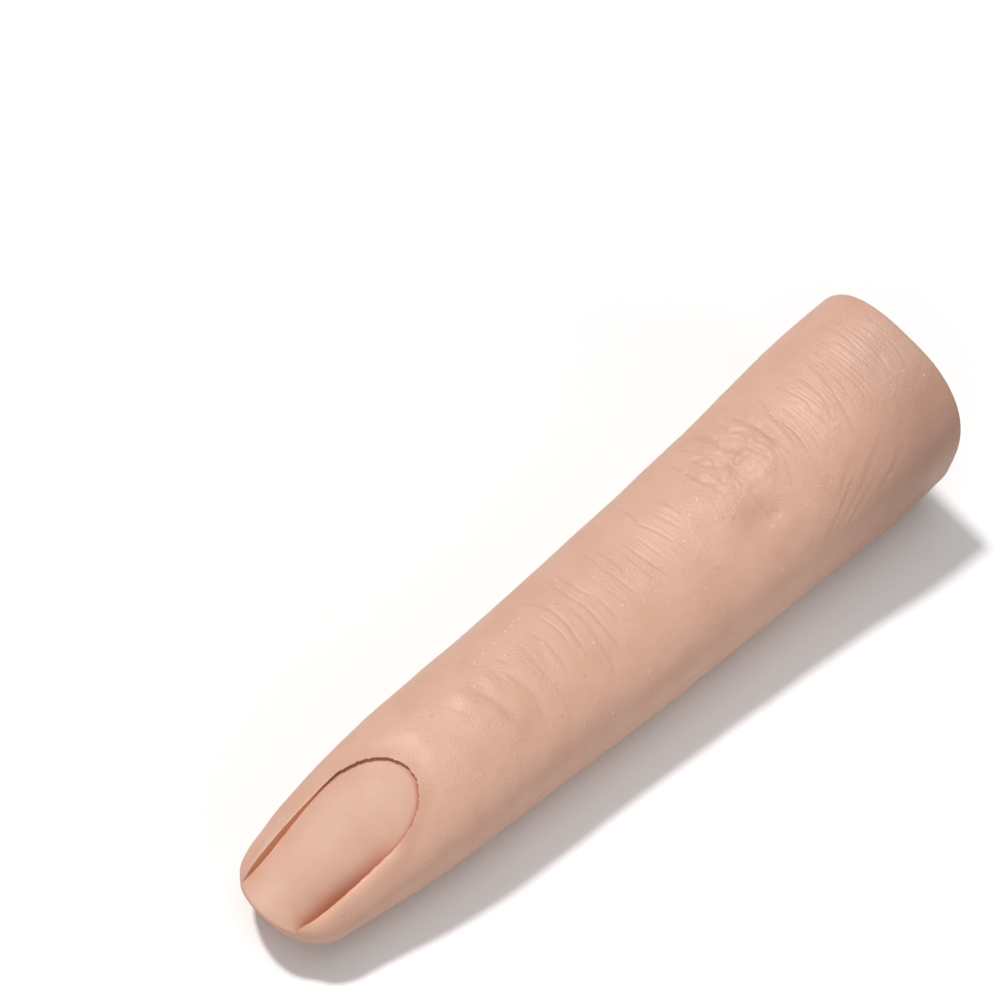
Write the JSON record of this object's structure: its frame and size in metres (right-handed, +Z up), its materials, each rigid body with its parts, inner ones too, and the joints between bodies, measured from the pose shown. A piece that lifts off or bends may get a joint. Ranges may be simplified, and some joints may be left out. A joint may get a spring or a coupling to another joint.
{
  "type": "nail practice finger",
  "caption": "Soft silicone practice finger with two bending knuckles, a jointed core and a slotted nail bed that holds a press-on nail.",
  "frame": {"origin": "on the surface the finger rests on, under the middle of its length and width", "axes": "+Y along the finger from its tip to its cut root, +Z up out of the nail, +X to the right when looking from the tip to the root"},
  "size_m": [0.0209, 0.0853, 0.019],
  "materials": {
    "skin_silicone": "satin",
    "knuckle_silicone": "satin",
    "nail_bed_silicone": "matte",
    "bone_plastic": "matte",
    "pin_steel": "satin",
    "washer_rubber": "matte"
  },
  "bodies": {
    "proximal": {"proximal_skin": "skin_silicone", "pip_knuckle_skin": "knuckle_silicone", "proximal_bone": "bone_plastic", "pip_pin": "pin_steel", "pip_pin_collar": "pin_steel", "pip_washer_left": "washer_rubber", "pip_washer_right": "washer_rubber"},
    "middle": {"middle_skin": "skin_silicone", "dip_knuckle_skin": "knuckle_silicone", "middle_bone": "bone_plastic", "dip_pin": "pin_steel", "dip_pin_collar": "pin_steel", "dip_washer_left": "washer_rubber", "dip_washer_right": "washer_rubber"},
    "distal": {"distal_skin": "skin_silicone", "nail_bed": "nail_bed_silicone", "distal_bone": "bone_plastic"}
  },
  "joints": [
    {"name": "pip_flexion", "type": "hinge", "parent": "proximal", "child": "middle", "pos_m": [0, 0.022, 0.0079], "axis": [1, 0, 0], "range_deg": [0, 70], "deforming": ["pip_knuckle_skin"]},
    {"name": "dip_flexion", "type": "hinge", "parent": "middle", "child": "distal", "pos_m": [0, -0.0095, 0.0065], "axis": [1, 0, 0], "range_deg": [0, 50], "deforming": ["dip_knuckle_skin"]}
  ]
}
